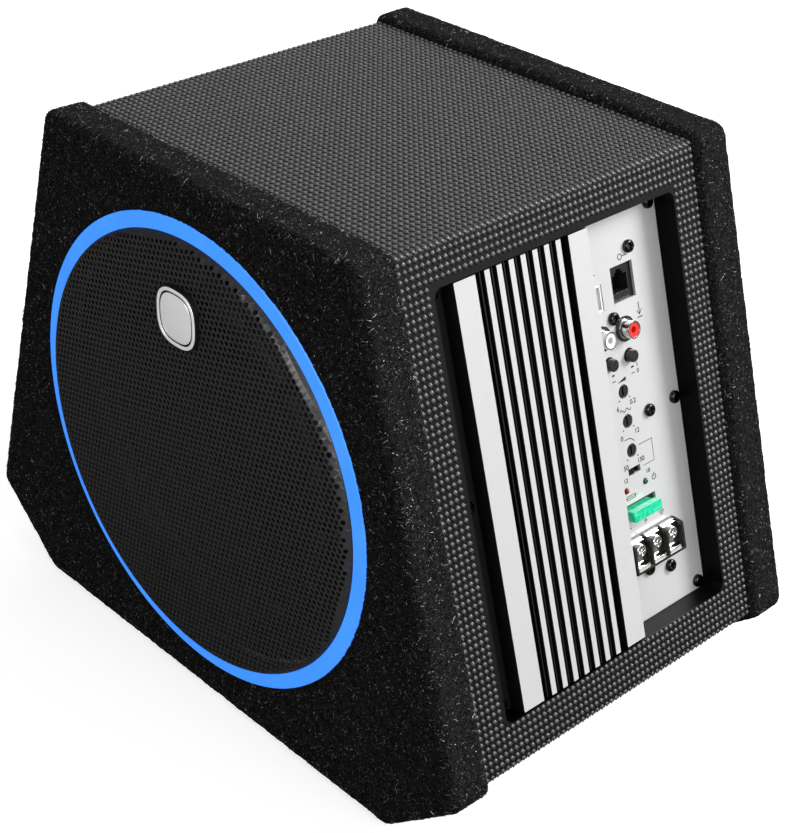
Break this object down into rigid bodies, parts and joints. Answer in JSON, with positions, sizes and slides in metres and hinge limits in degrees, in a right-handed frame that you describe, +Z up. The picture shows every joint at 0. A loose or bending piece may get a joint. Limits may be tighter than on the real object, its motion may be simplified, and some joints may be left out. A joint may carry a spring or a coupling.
{
  "type": "powered car subwoofer",
  "caption": "Hexagonal subwoofer box with carpeted end slabs, a round driver behind a domed grille in a blue ring, and an amplifier with heatsink and control panel sunk in a sloping side.",
  "frame": {"origin": "on the floor, under the middle of the whole object's box", "axes": "+Z up; the driver faces -Y; +X is the side that carries the amplifier"},
  "size_m": [0.3446, 0.2346, 0.2685],
  "materials": {
    "carpet": "needle-punched carpet",
    "fibreboard": "raw fibreboard",
    "vinyl": "nubbed vinyl",
    "black_steel": "black powder coat",
    "surround_rubber": "moulded rubber",
    "spider_cloth": "resin-dipped cloth",
    "cone_pulp": "coated pulp",
    "coil_copper": "enamelled copper",
    "zinc_steel": "zinc plated",
    "ferrite": "sintered ferrite",
    "black_screw": "black oxide",
    "wire_pvc": "insulation",
    "ring_blue": "blue satin paint",
    "badge_metal": "bright brushed",
    "black_anodised": "black anodised",
    "satin_silver": "satin silver",
    "board_green": "solder mask",
    "transformer_winding": "varnished winding",
    "capacitor_sleeve": "heat-shrink sleeve",
    "black_moulding": "moulded",
    "nickel": "nickel plated",
    "red_insulator": "red",
    "white_insulator": "white",
    "green_lens": "green lens",
    "red_lens": "red lens",
    "fuse_green": "tinted polycarbonate"
  },
  "bodies": {
    "enclosure": {"front_baffle": "fibreboard", "front_carpet": "carpet", "rear_slab": "fibreboard", "rear_carpet": "carpet", "top_panel": "fibreboard", "bottom_panel": "fibreboard", "left_side_panel": "fibreboard", "amp_side_panel": "fibreboard", "lower_corner_panels": "fibreboard", "vinyl_wrap": "vinyl", "amp_mounting_frame": "fibreboard", "woofer_basket": "black_steel", "woofer_surround": "surround_rubber", "woofer_spider": "spider_cloth", "motor_top_plate": "zinc_steel", "motor_magnet": "ferrite", "motor_back_plate": "zinc_steel", "woofer_terminals": "zinc_steel", "woofer_screws": "black_screw", "speaker_wires": "wire_pvc", "grille_mesh": "black_steel", "grille_ring": "ring_blue", "badge": "badge_metal", "heatsink": "black_anodised", "control_plate": "satin_silver", "plate_screws": "black_screw", "amp_rear_cover": "black_steel", "circuit_board": "board_green", "power_transformer": "transformer_winding", "filter_capacitors": "capacitor_sleeve", "power_transistors": "black_moulding", "remote_jack": "black_moulding", "rca_housing": "black_moulding", "rca_shells": "nickel", "rca_insert_red": "red_insulator", "rca_insert_white": "white_insulator", "high_level_connector": "white_insulator", "control_bodies": "black_moulding", "slope_switch_body": "black_moulding", "power_led": "green_lens", "protect_led": "red_lens", "fuse_holder": "black_moulding", "terminal_block": "black_moulding", "terminal_tabs": "nickel"},
    "cone_assembly": {"woofer_cone": "cone_pulp", "dust_cap": "cone_pulp", "voice_coil": "coil_copper"},
    "phase_button_body": {"phase_button": "black_moulding"},
    "auto_start_button_body": {"auto_start_button": "black_moulding"},
    "gain_knob_body": {"gain_knob": "black_moulding"},
    "bass_knob_body": {"bass_knob": "black_moulding"},
    "crossover_knob_body": {"crossover_knob": "black_moulding"},
    "slope_slider_body": {"slope_switch_slider": "black_moulding"},
    "fuse_body": {"fuse": "fuse_green"},
    "clamp_1_body": {"terminal_clamp_1": "nickel"},
    "screw_1_body": {"terminal_screw_1": "nickel"},
    "clamp_2_body": {"terminal_clamp_2": "nickel"},
    "screw_2_body": {"terminal_screw_2": "nickel"},
    "clamp_3_body": {"terminal_clamp_3": "nickel"},
    "screw_3_body": {"terminal_screw_3": "nickel"}
  },
  "joints": [
    {"name": "cone_travel", "type": "slide", "parent": "enclosure", "child": "cone_assembly", "axis": [0, -1, 0], "range_m": [-0.005, 0.005], "deforming": ["woofer_surround", "woofer_spider"]},
    {"name": "phase_press", "type": "slide", "parent": "enclosure", "child": "phase_button_body", "axis": [-0.9603, 0, -0.2791], "range_m": [0, 0.0022]},
    {"name": "auto_start_press", "type": "slide", "parent": "enclosure", "child": "auto_start_button_body", "axis": [-0.9603, 0, -0.2791], "range_m": [0, 0.0022]},
    {"name": "gain_turn", "type": "hinge", "parent": "enclosure", "child": "gain_knob_body", "pos_m": [0.11851, 0.04275, 0.16159], "axis": [0.9603, 0, 0.2791], "range_deg": [-135, 135]},
    {"name": "bass_turn", "type": "hinge", "parent": "enclosure", "child": "bass_knob_body", "pos_m": [0.12252, 0.04275, 0.14777], "axis": [0.9603, 0, 0.2791], "range_deg": [-135, 135]},
    {"name": "crossover_turn", "type": "hinge", "parent": "enclosure", "child": "crossover_knob_body", "pos_m": [0.12654, 0.04275, 0.13394], "axis": [0.9603, 0, 0.2791], "range_deg": [-135, 135]},
    {"name": "slope_slide", "type": "slide", "parent": "enclosure", "child": "slope_slider_body", "axis": [0, 1, 0], "range_m": [0, 0.004]},
    {"name": "fuse_pull", "type": "slide", "parent": "enclosure", "child": "fuse_body", "axis": [0.9603, 0, 0.2791], "range_m": [0, 0.012]},
    {"name": "clamp_1_lift", "type": "slide", "parent": "enclosure", "child": "clamp_1_body", "axis": [0.9603, 0, 0.2791], "range_m": [0, 0.0018]},
    {"name": "screw_1_turn", "type": "hinge", "parent": "clamp_1_body", "child": "screw_1_body", "pos_m": [0.14419, 0.03438, 0.09116], "axis": [0.9603, 0, 0.2791], "range_deg": [0, 1100]},
    {"name": "clamp_2_lift", "type": "slide", "parent": "enclosure", "child": "clamp_2_body", "axis": [0.9603, 0, 0.2791], "range_m": [0, 0.0018]},
    {"name": "screw_2_turn", "type": "hinge", "parent": "clamp_2_body", "child": "screw_2_body", "pos_m": [0.14419, 0.04555, 0.09116], "axis": [0.9603, 0, 0.2791], "range_deg": [0, 1100]},
    {"name": "clamp_3_lift", "type": "slide", "parent": "enclosure", "child": "clamp_3_body", "axis": [0.9603, 0, 0.2791], "range_m": [0, 0.0018]},
    {"name": "screw_3_turn", "type": "hinge", "parent": "clamp_3_body", "child": "screw_3_body", "pos_m": [0.14419, 0.05672, 0.09116], "axis": [0.9603, 0, 0.2791], "range_deg": [0, 1100]}
  ],
  "couplings": [
    {"joint": "screw_1_turn", "follows": "clamp_1_lift", "rad_per_m": 10472},
    {"joint": "screw_2_turn", "follows": "clamp_2_lift", "rad_per_m": 10472},
    {"joint": "screw_3_turn", "follows": "clamp_3_lift", "rad_per_m": 10472}
  ]
}
